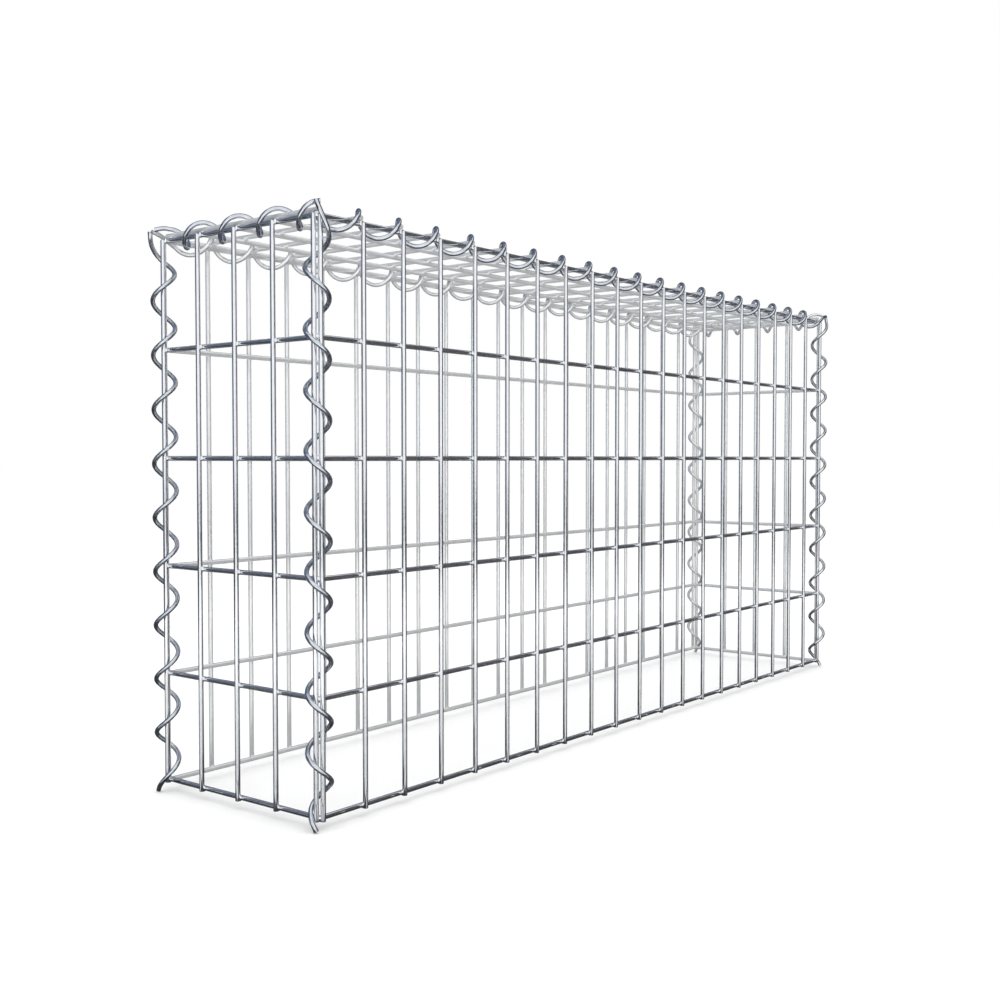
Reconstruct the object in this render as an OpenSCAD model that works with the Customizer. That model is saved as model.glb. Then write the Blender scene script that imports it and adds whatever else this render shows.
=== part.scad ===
// Welded wire gabion basket: five mesh panels laced along their edges by closing spirals.
// All sizes are in millimetres. +Z is up, X runs along the basket, the front faces -Y.
// The origin is the middle of the footprint, on the level of the spirals' cut lower ends.

/* [Mesh] */
// Width of one mesh cell, along the basket and across it
cell_w = 50; // [40:5:100]
// Height of one mesh cell
cell_h = 100; // [80:5:120]
// Cells along the basket
cells_long = 20; // [4:1:40]
// Cells across the basket
cells_deep = 4; // [2:1:20]
// Cells up the basket
cells_high = 5; // [2:1:10]
// Diameter of the mesh wires
wire_d = 4.5; // [3:0.1:6]
// Depth by which crossing wires sink into each other at a weld
weld_set = 0.5; // [0.2:0.1:1]
// Height of the uprights' cut upper ends above the centre lines of the highest level wires
upright_rise = 0.6; // [0:0.1:3]

/* [Spirals] */
// Diameter of the spirals' wire
spiral_wire_d = 4.2; // [3:0.1:6]
// Outside diameter of a spiral
spiral_od = 24; // [22:0.5:40]
// Turns of a corner spiral to each cell height
turns_per_level = 2; // [1:1:3]
// Height above each level wire at which a corner spiral points along the outward angle
corner_lag = 7.2; // [5:0.1:10]
// Distance from the crown of a long top spiral's turn to the lid wire that the turn passes over
crown_lead = 1.5; // [0.5:0.1:4]
// Distance from the crown of a short top spiral's turn to the nearest upright of the end panel
end_crown_lead = 3.6; // [1:0.1:8]
// Distance by which the top spirals' centre lines lie inside the top wires
lid_shift = 0.6; // [0:0.1:1.5]
// Height of the long top spirals' centre lines above the top wires
long_rise = 0.6; // [0:0.1:1.5]
// Height of the short top spirals' centre lines above the top wires
short_rise = 0.85; // [0:0.05:1.5]

/* [Corner spiral ends] */
// Height of the cut lower ends below the lowest level wires
tail_drop = 10; // [8:0.5:20]
// Height over which the lower ends at front left and back right unwind
close_tail = 42; // [30:1:60]
// Degrees by which those lower ends turn
close_tail_turn = 250; // [180:5:300]
// Radius at the tips of those lower ends, as a share of the spiral's radius
close_tail_share = 0.67; // [0.65:0.01:1]
// Height over which the lower ends at front right and back left unwind
open_tail = 30; // [20:1:50]
// Degrees by which those lower ends turn
open_tail_turn = 154; // [90:2:200]
// Height of the upper tips at front left and back right above the top wires
tall_rise = 10; // [6:0.5:14]
// Height over which those upper ends unwind
tall_top = 28; // [20:1:40]
// Degrees by which those upper ends turn
tall_top_turn = 85; // [60:1:120]
// Slowing of their turning towards the tips, 1 for an even turn
tall_top_ease = 1.3; // [1:0.1:2]
// Height of the upper tips at front right and back left above the top wires
wide_rise = 7.8; // [4:0.1:10]
// Height over which those upper ends unwind
wide_top = 24; // [15:1:30]
// Degrees by which those upper ends turn
wide_top_turn = 90; // [60:1:120]
// Radius at the tips of those upper ends, as a share of the spiral's radius
wide_top_share = 1.2; // [1:0.01:1.4]
// Slowing of their turning towards the tips, 1 for an even turn
wide_top_ease = 1.6; // [1:0.1:2]

/* [Top spiral ends] */
// Distance from the corner to the blunt end of a long top spiral
long_start = 9; // [8:0.5:20]
// Distance by which the other end of a long top spiral reaches past the corner
long_reach = 9.3; // [6:0.1:14]
// Length over which that end unwinds
long_tail = 26; // [20:1:40]
// Degrees by which that end turns
long_tail_turn = 58; // [50:1:90]
// Radius at the tip of that end, as a share of the spiral's radius
long_tail_share = 1.24; // [1:0.01:1.6]
// Slowing of its turning towards the tip, 1 for an even turn
long_tail_ease = 1.8; // [1:0.1:3]
// Length over which the far end of a short top spiral unwinds past its last crown
short_tail = 8.3; // [6:0.1:14]
// Degrees by which that end turns
short_tail_turn = 48; // [40:1:70]
// Radius at the tip of that end, as a share of the spiral's radius
short_tail_share = 1.32; // [1.2:0.01:1.6]

/* [Fits] */
// Clearance between pieces that rest on or stand against each other
seat_gap = 0.3; // [0.1:0.05:0.6]

/* [Hidden] */
bar_sides = 8;
ring_sides = 6;
rings_per_turn = 12;

length = cells_long * cell_w;
depth = cells_deep * cell_w;
height = cells_high * cell_h;
half_l = length / 2;
half_d = depth / 2;

// Distance between the centre planes of a panel's two wire layers
layer = wire_d - weld_set;
// Level of the lowest and of the highest level wires
z_low = tail_drop;
z_top = tail_drop + height;

// The lid lies on the top wires, and its own edge wires lie just inside them
lid_cross_z = z_top + wire_d + seat_gap;
lid_long_z = lid_cross_z - layer;
lid_edge_y = half_d - wire_d - seat_gap;
lid_end_x = half_l - wire_d / 2 - seat_gap;

// Radius of a spiral's centre line, and the larger radius whose chords keep to it on average
spiral_r = (spiral_od - spiral_wire_d) / 2;
path_r = spiral_r * 2 / (1 + cos(180 / rings_per_turn));
// Corner radii of the polygons that have the same area as the round wires
function polygon_r(d, sides) = d / 2 * sqrt(2 * PI / (sides * sin(360 / sides)));
bar_r = polygon_r(wire_d, bar_sides);
ring_r = polygon_r(spiral_wire_d, ring_sides);

corner_pitch = cell_h / turns_per_level;
top_pitch = cell_w;
// Direction in which a corner spiral points at its lag, seen from above at the front left corner
outward_angle = 128;
// Overshoot of the corner spirals' lower ends, cut off level afterwards
tail_over = 1.5;

// Most by which the other ends' turning slows down
free_ease = 4;

// Ends of the spirals, each as [length, degrees turned, radius of the tip as a share, most slowing]
close_tail_end = [close_tail + tail_over, close_tail_turn, close_tail_share, free_ease];
open_tail_end = [open_tail + tail_over, open_tail_turn, 1, free_ease];
tall_top_end = [tall_top, tall_top_turn, 1, tall_top_ease];
wide_top_end = [wide_top, wide_top_turn, wide_top_share, wide_top_ease];
long_tail_end = [long_tail, long_tail_turn, long_tail_share, long_tail_ease];
short_tail_end = [short_tail, short_tail_turn, short_tail_share, free_ease];
blunt_end = [];

steel = [0.62, 0.64, 0.68];
pale_steel = [0.74, 0.75, 0.77];

// One straight wire with flats facing across and up, from its centre line's start along +Z
module wire(reach) {
    rotate(180 / bar_sides)
        cylinder(h = reach, r = bar_r, $fn = bar_sides);
}

// A wire along +X from x0 to x1
module wire_x(x0, x1, y, z) {
    translate([x0, y, z])
        rotate([0, 90, 0])
            wire(x1 - x0);
}

// A wire along +Y from y0 to y1
module wire_y(y0, y1, x, z) {
    translate([x, y0, z])
        rotate([-90, 0, 0])
            wire(y1 - y0);
}

// Uprights of a side panel, cut flush with the underside of the lowest level wire
module uprights(cells, y) {
    for (i = [0 : cells])
        translate([(i - cells / 2) * cell_w, y, z_low - wire_d / 2])
            wire(height + wire_d / 2 + upright_rise);
}

// Level wires of a side panel, mitred at both ends against the next panel's level wires
module level_wires(half_len, y) {
    reach = half_len + wire_d;
    clear = seat_gap / sqrt(2);
    intersection() {
        for (k = [0 : cells_high])
            wire_x(-reach, reach, y, z_low + k * cell_h);
        translate([0, 0, z_low - wire_d])
            linear_extrude(height + 2 * wire_d)
                polygon([
                    [-half_len - wire_d + clear, y - wire_d],
                    [half_len + wire_d - clear, y - wire_d],
                    [half_len - wire_d - clear, y + wire_d],
                    [-half_len + wire_d + clear, y + wire_d]
                ]);
    }
}

// A side panel on the -Y side: uprights outside, level wires inside
module side_panel(cells, half_len, half_across) {
    uprights(cells, -half_across - layer);
    level_wires(half_len, -half_across);
}

// Points of a spiral's centre line, about the Z axis, as [radius, angle, height] at each ring
function regular_path(from, to, pitch, angle) =
    let (n = ceil((to - from) / pitch * rings_per_turn))
    [for (i = [0 : n])
        let (s = (to - from) * i / n)
        [path_r, angle - 360 * s / pitch, from + s]];

// An end that unwinds beyond the full turns: it leaves them at their own rate of turning, or at a lower one
// where its slowing is limited, and slows down
function end_path(z, angle, pitch, way, end) =
    len(end) == 0 ? [] :
    let (reach = end[0], turn = end[1], widen = path_r * (end[2] - 1),
         n = ceil(max(reach / pitch, turn / 360) * rings_per_turn) + 1,
         ease = max(1, min(end[3], 360 * reach / pitch / turn)))
    [for (i = [1 : n])
        let (u = i / n)
        [path_r + widen * u, angle - way * turn * (1 - pow(1 - u, ease)), z + way * reach * u]];

function reversed(list) = [for (i = [len(list) - 1 : -1 : 0]) list[i]];

// Full turns from one height to another, with an end at each side
function spiral_path(from, to, pitch, angle, first_end, last_end) =
    concat(
        reversed(end_path(from, angle, pitch, -1, first_end)),
        regular_path(from, to, pitch, angle),
        end_path(to, angle - 360 * (to - from) / pitch, pitch, 1, last_end)
    );

function cartesian(p) = [p[0] * cos(p[1]), p[0] * sin(p[1]), p[2]];
function unit(v) = v / norm(v);

// One ring of wire surface about a point of the centre line
function ring(p, angle, tangent) =
    let (out = [cos(angle), sin(angle), 0],
         across = unit(out - (out * tangent) * tangent),
         up = cross(tangent, across))
    [for (k = [0 : ring_sides - 1])
        p + ring_r * (cos(360 * k / ring_sides) * across + sin(360 * k / ring_sides) * up)];

// Round wire swept along a path of [radius, angle, height] points
module swept_wire(path) {
    n = len(path) - 1;
    pts = [for (p = path) cartesian(p)];
    rings = [for (i = [0 : n])
        ring(pts[i], path[i][1], unit(pts[min(i + 1, n)] - pts[max(i - 1, 0)]))];
    last = n * ring_sides;
    polyhedron(
        points = [for (r = rings) for (q = r) q],
        faces = concat(
            [[for (k = [0 : ring_sides - 1]) k]],
            [for (i = [0 : n - 1]) for (k = [0 : ring_sides - 1])
                let (a = i * ring_sides, next = (k + 1) % ring_sides)
                [a + k, a + ring_sides + k, a + ring_sides + next]],
            [for (i = [0 : n - 1]) for (k = [0 : ring_sides - 1])
                let (a = i * ring_sides, next = (k + 1) % ring_sides)
                [a + k, a + ring_sides + next, a + next]],
            [[for (k = [ring_sides - 1 : -1 : 0]) last + k]]
        )
    );
}

// A spiral at the front left corner, whose tips rise above the top wires and whose feet are cut off level
module corner_spiral(tail_end, top_end, rise) {
    from = tail_end[0] - tail_over;
    to = z_top + rise - top_end[0];
    angle = outward_angle - 360 * (from - z_low - corner_lag) / corner_pitch;
    difference() {
        translate([-half_l - layer / 2, -half_d - layer / 2, 0])
            swept_wire(spiral_path(from, to, corner_pitch, angle, tail_end, top_end));
        translate([-half_l - spiral_od, -half_d - spiral_od, -spiral_od])
            cube([2 * spiral_od, 2 * spiral_od, spiral_od]);
    }
}

// A spiral at front left or back right, and one that is mirrored to front right or back left
module close_corner_spiral() {
    corner_spiral(close_tail_end, tall_top_end, tall_rise);
}
module open_corner_spiral() {
    corner_spiral(open_tail_end, wide_top_end, wide_rise);
}

// A spiral along +X on a top edge at -Y; its outer half rises towards +X, to a crown at crown_x
module edge_spiral(from, to, crown_x, edge_y, rise, first_end, last_end) {
    angle = 180 - 360 * (from - crown_x) / top_pitch;
    translate([0, edge_y + lid_shift, z_top + rise])
        rotate([0, 90, 0])
            swept_wire(spiral_path(from, to, top_pitch, angle, first_end, last_end));
}

module long_spiral() {
    edge_spiral(
        -half_l + long_start, half_l + long_reach - long_tail,
        -half_l - crown_lead, -half_d, long_rise, blunt_end, long_tail_end
    );
}

// Drawn as if the end panel faced the front, from the crown at its far corner to the one at its near corner
module short_spiral() {
    first_crown = -half_d + end_crown_lead;
    edge_spiral(
        first_crown, first_crown + depth,
        first_crown, -half_l, short_rise, short_tail_end, blunt_end
    );
}

module front_panel() {
    color(steel)
        side_panel(cells_long, half_l, half_d);
}

module back_panel() {
    color(pale_steel)
        rotate(180)
            side_panel(cells_long, half_l, half_d);
}

module left_end_panel() {
    color(steel)
        rotate(-90)
            side_panel(cells_deep, half_d, half_l);
}

module right_end_panel() {
    color(pale_steel)
        rotate(90)
            side_panel(cells_deep, half_d, half_l);
}

// Lid: wires along the basket below, wires across it above, their ends lying on the top wires
module lid_panel() {
    cross_reach = half_d + wire_d / 2;
    edge_x = lid_end_x + seat_gap / 2;
    color(pale_steel) {
        for (j = [0 : cells_deep])
            let (y = (j - cells_deep / 2) * cell_w)
            wire_x(-lid_end_x, lid_end_x, max(-lid_edge_y, min(lid_edge_y, y)), lid_long_z);
        for (i = [0 : cells_long])
            let (x = (i - cells_long / 2) * cell_w)
            wire_y(-cross_reach, cross_reach, max(-edge_x, min(edge_x, x)), lid_cross_z);
    }
}

module front_left_spiral() {
    color(steel)
        close_corner_spiral();
}

module front_right_spiral() {
    color(steel)
        mirror([1, 0, 0])
            open_corner_spiral();
}

module back_left_spiral() {
    color(steel)
        mirror([0, 1, 0])
            open_corner_spiral();
}

module back_right_spiral() {
    color(pale_steel)
        rotate(180)
            close_corner_spiral();
}

module front_top_spiral() {
    color(steel)
        long_spiral();
}

module back_top_spiral() {
    color(pale_steel)
        rotate(180)
            long_spiral();
}

module left_top_spiral() {
    color(steel)
        rotate(-90)
            short_spiral();
}

module right_top_spiral() {
    color(pale_steel)
        rotate(90)
            short_spiral();
}

front_panel();
back_panel();
left_end_panel();
right_end_panel();
lid_panel();
front_left_spiral();
front_right_spiral();
back_left_spiral();
back_right_spiral();
front_top_spiral();
back_top_spiral();
left_top_spiral();
right_top_spiral();
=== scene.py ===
"""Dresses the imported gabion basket: round galvanised wires, weld beads, cut ends and smooth spirals."""

import math

import bpy
from mathutils import Matrix, Vector


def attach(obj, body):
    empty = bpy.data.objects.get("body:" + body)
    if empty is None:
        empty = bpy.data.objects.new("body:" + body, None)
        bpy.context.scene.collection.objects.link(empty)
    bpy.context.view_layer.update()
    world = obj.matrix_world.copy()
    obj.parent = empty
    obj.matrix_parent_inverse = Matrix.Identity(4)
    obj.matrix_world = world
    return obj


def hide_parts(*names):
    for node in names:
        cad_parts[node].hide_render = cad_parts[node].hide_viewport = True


MM = 0.001

# Sizes of the mesh, in metres, as in the solids
CELL_W = 50 * MM
CELL_H = 100 * MM
CELLS_LONG = 20
CELLS_DEEP = 4
CELLS_HIGH = 5
WIRE_R = 2.25 * MM
WELD_SET = 0.5 * MM
SEAT_GAP = 0.3 * MM
UPRIGHT_RISE = 0.6 * MM

# Sizes of the spirals, as in the solids
SPIRAL_WIRE_R = 2.1 * MM
SPIRAL_R = 9.9 * MM
TURNS_PER_LEVEL = 2
CORNER_LAG = 7.2 * MM
CROWN_LEAD = 1.5 * MM
END_CROWN_LEAD = 3.6 * MM
LID_SHIFT = 0.6 * MM
LONG_RISE = 0.6 * MM
SHORT_RISE = 0.85 * MM
TAIL_DROP = 10 * MM
OUTWARD_ANGLE = 128
TALL_RISE = 10 * MM
WIDE_RISE = 7.8 * MM
LONG_START = 9 * MM
LONG_REACH = 9.3 * MM

# Ends of the spirals, each as (length, degrees turned, radius of the tip as a share, most slowing)
FREE_EASE = 4
CLOSE_TAIL = (42 * MM, 250, 0.67, FREE_EASE)
OPEN_TAIL = (30 * MM, 154, 1, FREE_EASE)
TALL_TOP = (28 * MM, 85, 1, 1.3)
WIDE_TOP = (24 * MM, 90, 1.2, 1.6)
LONG_TAIL = (26 * MM, 58, 1.24, 1.8)
SHORT_TAIL = (8.3 * MM, 48, 1.32, FREE_EASE)

# Fineness of the round wires and what the solids leave out: bevelled cuts and weld beads
WIRE_SIDES = 20
SPIRAL_SIDES = 14
BEAD_SIDES = 14
RINGS_PER_TURN = 56
END_BEVEL = 0.5 * MM
BEVEL_SHARE = 0.7
SPIRAL_CUT_SHARE = 0.75
SHARP_ANGLE = 30
# A weld bead's section, as distances along the weld and radii there
BEAD_SECTION = (
    (-1.3 * MM, 1.5 * MM),
    (-0.9 * MM, 2.35 * MM),
    (-0.3 * MM, 2.85 * MM),
    (0.3 * MM, 2.85 * MM),
    (0.9 * MM, 2.35 * MM),
    (1.3 * MM, 1.5 * MM),
)
# A spiral's round end stands on its lower edge, so its centre stops short of the floor
FOOT_LIFT = 1.2 * MM

HALF_L = CELLS_LONG * CELL_W / 2
HALF_D = CELLS_DEEP * CELL_W / 2
LAYER = 2 * WIRE_R - WELD_SET
Z_LOW = TAIL_DROP
Z_TOP = TAIL_DROP + CELLS_HIGH * CELL_H
CORNER_PITCH = CELL_H / TURNS_PER_LEVEL

# Zinc: cloudy patches in its colour, dull spots in its roughness and a slightly uneven skin
CLOUD_SCALE = 140
CLOUD_DETAIL = 5
CLOUD_ROUGHNESS = 0.6
CLOUD_DARK_AT = 0.35
CLOUD_LIGHT_AT = 0.65
SPOT_SCALE = 420
SPOT_POLISH = 0.03
SPOT_DULLNESS = 0.05
GRAIN_SCALE = 700
GRAIN_DETAIL = 3
SKIN_STRENGTH = 0.6
SKIN_DEPTH = 0.015 * MM

# The camera's place and direction, found from the mesh's cells in the photograph
CAMERA_AT = (-1.1932, -0.8343, 0.3103)
CAMERA_YAW = math.radians(51.904)
CAMERA_PITCH = math.radians(-1.987)
CAMERA_LENS = 43.513
CAMERA_SENSOR = 36.0
CLIP_START = 0.01
CLIP_END = 100

# Level directions of the stage: from the basket to the camera, and to the picture's right
TOWARDS = Vector((-math.sin(CAMERA_YAW), -math.cos(CAMERA_YAW), 0))
RIGHTWARD = Vector((math.cos(CAMERA_YAW), -math.sin(CAMERA_YAW), 0))

# Floor, world and lamp, in metres and watts
FLOOR_HALF = 30
FLOOR_TONE = (0.985, 0.985, 0.985)
STAGE_ROUGHNESS = 0.9
WORLD_FILL = 1.02
LAMP_AT = (-0.6, -0.8, 3.0)
LAMP_TARGET = (0, 0, 0.2)
LAMP_SIZE = 2.5
LAMP_WATTS = 25

# What the wires mirror: a dark floor with an open lane towards the camera
FLAG_REACH = 8
FLAG_LIFT = 0.5 * MM
FLAG_TONE = (0.05, 0.052, 0.057)
LANE_FROM = 0.9
LANE_HALF = 1.3

# A dark wall from the right side round the back to the left side, from grey to blue grey, with the open
# angles in degrees from the camera's direction
WALL_R = 4.0
WALL_STEPS = 8
WALL_TOP_RIGHT = 3.9
WALL_TOP_LEFT = 5.2
WALL_OPEN_RIGHT = 64
WALL_OPEN_LEFT = 40
WALL_TONE_RIGHT = Vector((0.09, 0.092, 0.094))
WALL_TONE_LEFT = Vector((0.12, 0.15, 0.21))

# A blue grey roof from the back to just in front of the basket, open on the right
ROOF_H = 4.2
ROOF_REACH = 6
ROOF_FRONT = 0.8
ROOF_RIGHT = 1.8
ROOF_TONE = (0.16, 0.19, 0.28)

# Low slats before the basket, white towards it and dark towards the camera: they keep the uprights bright
# down to the floor while the level wires still mirror a dark floor
SLAT_STEP = 0.05
SLAT_H = 0.013
SLAT_GAP = 0.002
SLAT_CLEAR = 0.025
SLAT_LEFT = -1.2
SLAT_RIGHT = 1.5
CARD_TONE = (0.85, 0.85, 0.85)


class Shape:
    """Vertices and faces of one mesh, gathered piece by piece."""

    def __init__(self):
        self.verts = []
        self.faces = []

    def sweep(self, rings):
        """Joins rings of equally many points into a closed tube."""
        sides = len(rings[0])
        base = len(self.verts)
        for ring in rings:
            self.verts.extend(ring)
        for i in range(len(rings) - 1):
            low = base + i * sides
            for k in range(sides):
                turn = (k + 1) % sides
                self.faces.append((low + k, low + turn, low + sides + turn, low + sides + k))
        last = base + (len(rings) - 1) * sides
        self.faces.append(tuple(base + k for k in reversed(range(sides))))
        self.faces.append(tuple(last + k for k in range(sides)))

    def turned(self, matrix):
        """A copy of the shape, turned or mirrored."""
        copy = Shape()
        copy.verts = [matrix @ Vector(v) for v in self.verts]
        copy.faces = list(self.faces)
        if matrix.determinant() < 0:
            copy.faces = [tuple(reversed(f)) for f in copy.faces]
        return copy


def circle(centre, across, up, radius, sides):
    """One ring of points about a centre."""
    angles = [2 * math.pi * k / sides for k in range(sides)]
    return [centre + radius * (math.cos(a) * across + math.sin(a) * up) for a in angles]


def straight_wire(shape, start, end):
    """A round wire from start to end with both cut edges taken off."""
    start, end = Vector(start), Vector(end)
    along = (end - start).normalized()
    across = along.orthogonal().normalized()
    up = along.cross(across)
    bevel = END_BEVEL * along
    cut_r = WIRE_R - END_BEVEL * BEVEL_SHARE
    shape.sweep([
        circle(start, across, up, cut_r, WIRE_SIDES),
        circle(start + bevel, across, up, WIRE_R, WIRE_SIDES),
        circle(end - bevel, across, up, WIRE_R, WIRE_SIDES),
        circle(end, across, up, cut_r, WIRE_SIDES),
    ])


def mitred_wire(shape, half_len, y, z):
    """A level wire along X whose ends are cut at 45 degrees against the next panel's wires."""
    clear = SEAT_GAP / math.sqrt(2)
    rings = []
    for side in (-1, 1):
        ring = []
        for k in range(WIRE_SIDES):
            a = 2 * math.pi * k / WIRE_SIDES
            dy, dz = WIRE_R * math.cos(a), WIRE_R * math.sin(a)
            ring.append(Vector((side * (half_len - clear - dy), y + dy, z + dz)))
        rings.append(ring)
    shape.sweep(rings)


def weld_bead(shape, centre, normal):
    """The flattened bead of metal that a weld leaves between two crossing wires."""
    centre, normal = Vector(centre), Vector(normal)
    across = normal.orthogonal().normalized()
    up = normal.cross(across)
    shape.sweep([circle(centre + h * normal, across, up, r, BEAD_SIDES) for h, r in BEAD_SECTION])


def side_panel(cells, half_len, half_across):
    """A side panel on the -Y side: uprights outside, level wires inside."""
    shape = Shape()
    y_up, y_level = -half_across - LAYER, -half_across
    levels = [Z_LOW + k * CELL_H for k in range(CELLS_HIGH + 1)]
    for i in range(cells + 1):
        x = (i - cells / 2) * CELL_W
        straight_wire(shape, (x, y_up, Z_LOW - WIRE_R), (x, y_up, Z_TOP + UPRIGHT_RISE))
        for z in levels:
            weld_bead(shape, (x, (y_up + y_level) / 2, z), (0, -1, 0))
    for z in levels:
        mitred_wire(shape, half_len, y_level, z)
    return shape


def lid():
    """The lid: long wires below, cross wires above with their ends over the top wires."""
    shape = Shape()
    z_cross = Z_TOP + 2 * WIRE_R + SEAT_GAP
    z_long = z_cross - LAYER
    edge_y = HALF_D - 2 * WIRE_R - SEAT_GAP
    end_x = HALF_L - WIRE_R - SEAT_GAP
    edge_x = end_x + SEAT_GAP / 2
    reach = HALF_D + WIRE_R
    rows = [(j - CELLS_DEEP / 2) * CELL_W for j in range(CELLS_DEEP + 1)]
    rows = [max(-edge_y, min(edge_y, y)) for y in rows]
    columns = [(i - CELLS_LONG / 2) * CELL_W for i in range(CELLS_LONG + 1)]
    columns = [max(-edge_x, min(edge_x, x)) for x in columns]
    for y in rows:
        straight_wire(shape, (-end_x, y, z_long), (end_x, y, z_long))
    for x in columns:
        straight_wire(shape, (x, -reach, z_cross), (x, reach, z_cross))
        for y in rows:
            weld_bead(shape, (x, y, (z_cross + z_long) / 2), (0, 0, 1))
    return shape


def drawn_in(ring, centre):
    """A smaller ring at the same place, which bevels a spiral's cut end."""
    return [centre + SPIRAL_CUT_SHARE * (point - centre) for point in ring]


def spiral(path):
    """Round wire along a path of (radius, degrees, height) points about the Z axis."""
    shape = Shape()
    points = [
        Vector((r * math.cos(math.radians(a)), r * math.sin(math.radians(a)), z))
        for r, a, z in path
    ]
    rings = []
    last = len(points) - 1
    for i, point in enumerate(points):
        tangent = (points[min(i + 1, last)] - points[max(i - 1, 0)]).normalized()
        angle = math.radians(path[i][1])
        out = Vector((math.cos(angle), math.sin(angle), 0))
        across = (out - out.dot(tangent) * tangent).normalized()
        up = tangent.cross(across)
        rings.append(circle(point, across, up, SPIRAL_WIRE_R, SPIRAL_SIDES))
    shape.sweep([drawn_in(rings[0], points[0]), *rings, drawn_in(rings[-1], points[-1])])
    return shape


def regular_path(start, stop, pitch, angle):
    """Even turns of a spiral, falling in angle as it rises."""
    n = math.ceil((stop - start) / pitch * RINGS_PER_TURN)
    steps = [(stop - start) * i / n for i in range(n + 1)]
    return [(SPIRAL_R, angle - 360 * s / pitch, start + s) for s in steps]


def end_path(height, angle, pitch, way, end):
    """An end that unwinds beyond the even turns and slows down."""
    if end is None:
        return []
    length, turn, share, most = end
    ease = max(1, min(most, 360 * length / pitch / turn))
    n = math.ceil(max(length / pitch, turn / 360) * RINGS_PER_TURN)
    steps = [i / n for i in range(1, n + 1)]
    return [
        (
            SPIRAL_R * (1 + (share - 1) * u),
            angle - way * turn * (1 - (1 - u) ** ease),
            height + way * length * u,
        )
        for u in steps
    ]


def spiral_path(start, stop, pitch, angle, first_end, last_end):
    """Even turns with an end at each side."""
    last_angle = angle - 360 * (stop - start) / pitch
    return (
        end_path(start, angle, pitch, -1, first_end)[::-1]
        + regular_path(start, stop, pitch, angle)
        + end_path(stop, last_angle, pitch, 1, last_end)
    )


def corner_spiral(tail, top, rise):
    """A spiral at the front left corner, from its cut foot to its tip above the top wires."""
    start = tail[0]
    angle = OUTWARD_ANGLE - 360 * (start - Z_LOW - CORNER_LAG) / CORNER_PITCH
    foot = (tail[0] - FOOT_LIFT, *tail[1:])
    shape = spiral(spiral_path(start, Z_TOP + rise - top[0], CORNER_PITCH, angle, foot, top))
    return shape.turned(Matrix.Translation((-HALF_L - LAYER / 2, -HALF_D - LAYER / 2, 0)))


def edge_spiral(start, stop, crown, y, rise, first_end, last_end):
    """A spiral along +X on a top edge at -Y; its outer half rises towards +X."""
    angle = 180 - 360 * (start - crown) / CELL_W
    shape = spiral(spiral_path(start, stop, CELL_W, angle, first_end, last_end))
    along = Matrix.Rotation(math.radians(90), 4, "Y")
    place = Matrix.Translation((0, y + LID_SHIFT, Z_TOP + rise))
    return shape.turned(place @ along)


def quarter_turns(n):
    """A turn about Z by quarters of a circle."""
    return Matrix.Rotation(math.radians(90 * n), 4, "Z")


def add_piece(node, shape, material):
    """Makes the mesh of one piece, which stands for a node of the solids."""
    mesh = bpy.data.meshes.new(node + "_look")
    mesh.from_pydata([tuple(v) for v in shape.verts], [], shape.faces)
    mesh.update()
    mesh.shade_smooth()
    mesh.set_sharp_from_angle(angle=math.radians(SHARP_ANGLE))
    mesh.materials.append(material)
    piece = bpy.data.objects.new(node + "_look", mesh)
    bpy.context.scene.collection.objects.link(piece)
    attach(piece, "root")
    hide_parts(node)


def zinc(name, dark, light, roughness, metallic):
    """Galvanised wire: zinc with fine cloudy patches, dull spots and a slightly uneven skin."""
    material = bpy.data.materials.new(name)
    material.use_nodes = True
    nodes, links = material.node_tree.nodes, material.node_tree.links
    shader = nodes["Principled BSDF"]
    shader.inputs["Metallic"].default_value = metallic
    where = nodes.new("ShaderNodeTexCoord")

    cloud = nodes.new("ShaderNodeTexNoise")
    cloud.inputs["Scale"].default_value = CLOUD_SCALE
    cloud.inputs["Detail"].default_value = CLOUD_DETAIL
    cloud.inputs["Roughness"].default_value = CLOUD_ROUGHNESS
    links.new(where.outputs["Object"], cloud.inputs["Vector"])
    tone = nodes.new("ShaderNodeValToRGB")
    tone.color_ramp.elements[0].position = CLOUD_DARK_AT
    tone.color_ramp.elements[0].color = (*dark, 1)
    tone.color_ramp.elements[1].position = CLOUD_LIGHT_AT
    tone.color_ramp.elements[1].color = (*light, 1)
    links.new(cloud.outputs["Fac"], tone.inputs["Fac"])
    links.new(tone.outputs["Color"], shader.inputs["Base Color"])

    spots = nodes.new("ShaderNodeTexVoronoi")
    spots.inputs["Scale"].default_value = SPOT_SCALE
    links.new(where.outputs["Object"], spots.inputs["Vector"])
    polish = nodes.new("ShaderNodeMapRange")
    polish.inputs["To Min"].default_value = roughness - SPOT_POLISH
    polish.inputs["To Max"].default_value = roughness + SPOT_DULLNESS
    links.new(spots.outputs["Distance"], polish.inputs["Value"])
    links.new(polish.outputs["Result"], shader.inputs["Roughness"])

    grain = nodes.new("ShaderNodeTexNoise")
    grain.inputs["Scale"].default_value = GRAIN_SCALE
    grain.inputs["Detail"].default_value = GRAIN_DETAIL
    links.new(where.outputs["Object"], grain.inputs["Vector"])
    skin = nodes.new("ShaderNodeBump")
    skin.inputs["Strength"].default_value = SKIN_STRENGTH
    skin.inputs["Distance"].default_value = SKIN_DEPTH
    links.new(grain.outputs["Fac"], skin.inputs["Height"])
    links.new(skin.outputs["Normal"], shader.inputs["Normal"])
    return material


def plain(name, colour):
    """A plain matt material for the stage."""
    material = bpy.data.materials.new(name)
    material.use_nodes = True
    shader = material.node_tree.nodes["Principled BSDF"]
    shader.inputs["Base Color"].default_value = (*colour, 1)
    shader.inputs["Roughness"].default_value = STAGE_ROUGHNESS
    shader.inputs["Specular IOR Level"].default_value = 0.0
    return material


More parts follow.
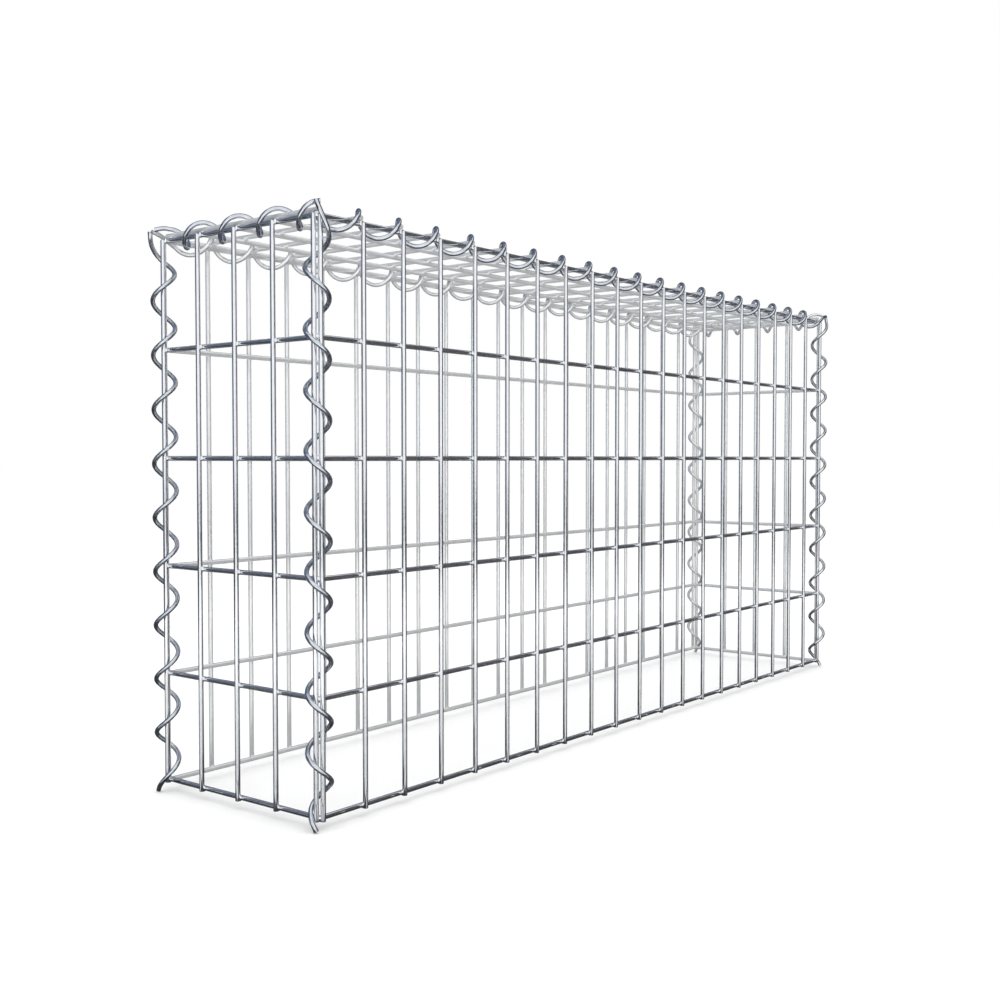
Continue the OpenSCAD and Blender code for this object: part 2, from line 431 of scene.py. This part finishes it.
def stage_sheet(name, corners, material):
    """A flat sheet with four corners for the stage, linked into the scene."""
    mesh = bpy.data.meshes.new(name)
    mesh.from_pydata(corners, [], [tuple(range(len(corners)))])
    mesh.materials.append(material)
    sheet = bpy.data.objects.new(name, mesh)
    bpy.context.scene.collection.objects.link(sheet)
    return sheet


def flag(name, corners, material):
    """A sheet that only reflections show, like a studio flag out of the picture.

    Each corner is given by its distances towards the camera and to the picture's right, and its height.
    """
    points = [TOWARDS * away + RIGHTWARD * right + Vector((0, 0, height)) for away, right, height in corners]
    sheet = stage_sheet(name, points, material)
    sheet.visible_camera = False
    sheet.visible_diffuse = False
    sheet.visible_shadow = False
    sheet.visible_transmission = False


def build_floor():
    """The pale floor, which keeps the basket's faint shadow."""
    signs = ((-1, -1), (1, -1), (1, 1), (-1, 1))
    corners = [(x * FLOOR_HALF, y * FLOOR_HALF, 0) for x, y in signs]
    stage_sheet("floor", corners, plain("pale_floor", FLOOR_TONE))


def build_floor_flags(paint):
    """The dark floor: behind the lane's start, and on both sides of the lane."""
    parts = (
        (-FLAG_REACH, LANE_FROM, -FLAG_REACH, FLAG_REACH),
        (LANE_FROM, FLAG_REACH, -FLAG_REACH, -LANE_HALF),
        (LANE_FROM, FLAG_REACH, LANE_HALF, FLAG_REACH),
    )
    for i, (back, fore, left, right) in enumerate(parts):
        corners = [(back, left), (fore, left), (fore, right), (back, right)]
        flag(f"floor_flag_{i}", [(*corner, FLAG_LIFT) for corner in corners], paint)


def wall_post(step):
    """One post of the wall: its foot and its top."""
    share = step / WALL_STEPS
    turn = math.radians(WALL_OPEN_RIGHT + (360 - WALL_OPEN_RIGHT - WALL_OPEN_LEFT) * share)
    away, right = WALL_R * math.cos(turn), WALL_R * math.sin(turn)
    top = WALL_TOP_RIGHT + (WALL_TOP_LEFT - WALL_TOP_RIGHT) * share
    return (away, right, 0), (away, right, top)


def build_wall():
    """The dark wall, whose blue grows towards its left end."""
    for i in range(WALL_STEPS):
        foot, top = wall_post(i)
        next_foot, next_top = wall_post(i + 1)
        blue_share = (i / (WALL_STEPS - 1)) ** 2
        paint = plain(f"dark_wall_{i}", WALL_TONE_RIGHT.lerp(WALL_TONE_LEFT, blue_share))
        flag(f"wall_flag_{i}", [foot, next_foot, next_top, top], paint)


def build_roof():
    """The roof over the back and the left."""
    corners = [
        (-ROOF_REACH, -ROOF_REACH, ROOF_H),
        (ROOF_FRONT, -ROOF_REACH, ROOF_H),
        (ROOF_FRONT, ROOF_RIGHT, ROOF_H),
        (-ROOF_REACH, ROOF_RIGHT, ROOF_H),
    ]
    flag("roof_flag", corners, plain("blue_grey_roof", ROOF_TONE))


def add_slat(name, away, left, right, white, dark):
    """One slat: a white card facing the basket with a dark one behind it."""
    for side, gap, paint in (("white", 0, white), ("dark", SLAT_GAP, dark)):
        corners = [
            (away + gap, left, FLAG_LIFT),
            (away + gap, right, FLAG_LIFT),
            (away + gap, right, SLAT_H),
            (away + gap, left, SLAT_H),
        ]
        flag(f"{name}_{side}", corners, paint)


def build_slats(white, dark):
    """Slats from the basket's far corners to the lane, cut short where the basket stands."""
    front_y = -HALF_D - SLAT_CLEAR
    left_x = -HALF_L - SLAT_CLEAR
    near_corner = Vector((left_x, front_y, 0)).dot(TOWARDS)
    front_corner = Vector((HALF_L, front_y, 0)).dot(TOWARDS)
    left_corner = Vector((left_x, HALF_D, 0)).dot(TOWARDS)
    for i in range(1, math.floor((LANE_FROM - front_corner) / SLAT_STEP) + 1):
        away = front_corner + i * SLAT_STEP
        if away >= near_corner:
            add_slat(f"slat_{i}", away, SLAT_LEFT, SLAT_RIGHT, white, dark)
            continue
        front_x = (away - front_y * TOWARDS.y) / TOWARDS.x
        front_end = Vector((front_x, front_y, 0)).dot(RIGHTWARD)
        add_slat(f"front_slat_{i}", away, front_end, SLAT_RIGHT, white, dark)
        if away > left_corner:
            left_y = (away - left_x * TOWARDS.x) / TOWARDS.y
            left_end = Vector((left_x, left_y, 0)).dot(RIGHTWARD)
            add_slat(f"left_slat_{i}", away, SLAT_LEFT, left_end, white, dark)


def build_world():
    """White to the camera, to reflections and through glass; a soft fill for everything else."""
    world = bpy.data.worlds.new("studio")
    bpy.context.scene.world = world
    world.use_nodes = True
    nodes, links = world.node_tree.nodes, world.node_tree.links
    nodes.clear()
    path = nodes.new("ShaderNodeLightPath")
    seen = nodes.new("ShaderNodeMath")
    seen.operation = "MAXIMUM"
    links.new(path.outputs["Is Camera Ray"], seen.inputs[0])
    links.new(path.outputs["Is Glossy Ray"], seen.inputs[1])
    either = nodes.new("ShaderNodeMath")
    either.operation = "MAXIMUM"
    links.new(seen.outputs[0], either.inputs[0])
    links.new(path.outputs["Is Transmission Ray"], either.inputs[1])
    soft = nodes.new("ShaderNodeBackground")
    soft.inputs["Color"].default_value = (1, 1, 1, 1)
    soft.inputs["Strength"].default_value = WORLD_FILL
    white = nodes.new("ShaderNodeBackground")
    white.inputs["Color"].default_value = (1, 1, 1, 1)
    white.inputs["Strength"].default_value = 1
    mix = nodes.new("ShaderNodeMixShader")
    links.new(either.outputs[0], mix.inputs["Fac"])
    links.new(soft.outputs["Background"], mix.inputs[1])
    links.new(white.outputs["Background"], mix.inputs[2])
    out = nodes.new("ShaderNodeOutputWorld")
    links.new(mix.outputs["Shader"], out.inputs["Surface"])


def build_lamp():
    """A square soft lamp overhead, which reflections don't show."""
    data = bpy.data.lights.new("overhead", "AREA")
    data.shape = "SQUARE"
    data.size = LAMP_SIZE
    data.energy = LAMP_WATTS
    lamp = bpy.data.objects.new("overhead", data)
    lamp.location = LAMP_AT
    lamp.rotation_mode = "QUATERNION"
    lamp.rotation_quaternion = (Vector(LAMP_TARGET) - Vector(LAMP_AT)).to_track_quat("-Z", "Y")
    lamp.visible_glossy = False
    bpy.context.scene.collection.objects.link(lamp)


def build_camera():
    """The photograph's camera."""
    forward = Vector((
        math.sin(CAMERA_YAW) * math.cos(CAMERA_PITCH),
        math.cos(CAMERA_YAW) * math.cos(CAMERA_PITCH),
        math.sin(CAMERA_PITCH),
    ))
    data = bpy.data.cameras.new("camera")
    data.sensor_width = CAMERA_SENSOR
    data.lens = CAMERA_LENS
    data.clip_start = CLIP_START
    data.clip_end = CLIP_END
    camera = bpy.data.objects.new("camera", data)
    camera.location = CAMERA_AT
    camera.rotation_mode = "QUATERNION"
    camera.rotation_quaternion = forward.to_track_quat("-Z", "Y")
    bpy.context.scene.collection.objects.link(camera)
    bpy.context.scene.camera = camera


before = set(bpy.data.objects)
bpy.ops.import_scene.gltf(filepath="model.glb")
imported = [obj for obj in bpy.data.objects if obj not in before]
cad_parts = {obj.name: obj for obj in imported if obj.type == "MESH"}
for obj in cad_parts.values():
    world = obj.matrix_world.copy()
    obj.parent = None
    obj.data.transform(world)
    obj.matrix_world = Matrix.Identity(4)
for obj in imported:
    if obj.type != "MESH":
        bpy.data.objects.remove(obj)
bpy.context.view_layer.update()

# Finishes, with painted light: the lid, the back and right panels and the spirals between them get paler,
# less metallic copies of the same zinc, painted lighter than the near pieces as if more light fell on them,
# and the spiral at the front right corner gets a copy whose painted tone lies halfway
wire = zinc(
    "zinc_wire", dark=(0.86, 0.88, 0.92), light=(0.93, 0.945, 0.975), roughness=0.12, metallic=1.0
)
# Painted light: a paler, less metallic copy of the wire zinc, lighter as if more light fell on the far
# panels and the lid
painted_light_wire = zinc(
    "pale_zinc_wire", dark=(0.88, 0.895, 0.905), light=(0.94, 0.95, 0.955), roughness=0.12, metallic=0.55
)
dark_spiral = zinc(
    "zinc_spiral", dark=(0.60, 0.635, 0.695), light=(0.76, 0.795, 0.845), roughness=0.13, metallic=1.0
)
# Painted light: a copy of the spiral zinc painted lighter, halfway towards the far pieces
half_painted_light_spiral = zinc(
    "zinc_spiral_half_painted_light", dark=(0.80, 0.81, 0.825), light=(0.92, 0.93, 0.94), roughness=0.12, metallic=1.0
)
# Painted light: a paler, less metallic copy of the spiral zinc for the far spirals
painted_light_spiral = zinc(
    "pale_zinc_spiral", dark=(0.85, 0.865, 0.875), light=(0.93, 0.94, 0.945), roughness=0.12, metallic=0.7
)

# Panels
front = side_panel(CELLS_LONG, HALF_L, HALF_D)
end = side_panel(CELLS_DEEP, HALF_D, HALF_L)
add_piece("front_panel", front, wire)
# The back panel, the right end panel and the lid take the paler painted-light copy of the zinc
add_piece("back_panel", front.turned(quarter_turns(2)), painted_light_wire)
add_piece("left_end_panel", end.turned(quarter_turns(-1)), wire)
add_piece("right_end_panel", end.turned(quarter_turns(1)), painted_light_wire)
add_piece("lid_panel", lid(), painted_light_wire)

# Corner spirals
mirror_x = Matrix.Diagonal((-1, 1, 1, 1))
mirror_y = Matrix.Diagonal((1, -1, 1, 1))
close_corner = corner_spiral(CLOSE_TAIL, TALL_TOP, TALL_RISE)
open_corner = corner_spiral(OPEN_TAIL, WIDE_TOP, WIDE_RISE)
add_piece("front_left_spiral", close_corner, dark_spiral)
# The front right spiral takes the halfway painted-light copy, the back right spiral the paler painted-light
# copy
add_piece("front_right_spiral", open_corner.turned(mirror_x), half_painted_light_spiral)
add_piece("back_left_spiral", open_corner.turned(mirror_y), dark_spiral)
add_piece("back_right_spiral", close_corner.turned(quarter_turns(2)), painted_light_spiral)

# Spirals along the top edges
long_stop = HALF_L + LONG_REACH - LONG_TAIL[0]
long_crown = -HALF_L - CROWN_LEAD
long_spiral = edge_spiral(
    -HALF_L + LONG_START, long_stop, long_crown, -HALF_D, LONG_RISE, None, LONG_TAIL
)
first_crown = -HALF_D + END_CROWN_LEAD
short_spiral = edge_spiral(
    first_crown, first_crown + 2 * HALF_D, first_crown, -HALF_L, SHORT_RISE, SHORT_TAIL, None
)
add_piece("front_top_spiral", long_spiral, dark_spiral)
# The back and right top spirals take the paler painted-light copy
add_piece("back_top_spiral", long_spiral.turned(quarter_turns(2)), painted_light_spiral)
add_piece("left_top_spiral", short_spiral.turned(quarter_turns(-1)), dark_spiral)
add_piece("right_top_spiral", short_spiral.turned(quarter_turns(1)), painted_light_spiral)

# Stage
dark_paint = plain("dark_floor", FLAG_TONE)
build_camera()
build_floor()
build_floor_flags(dark_paint)
build_wall()
build_roof()
build_slats(plain("white_card", CARD_TONE), dark_paint)
build_world()
build_lamp()
bpy.context.scene.view_settings.view_transform = "Standard"
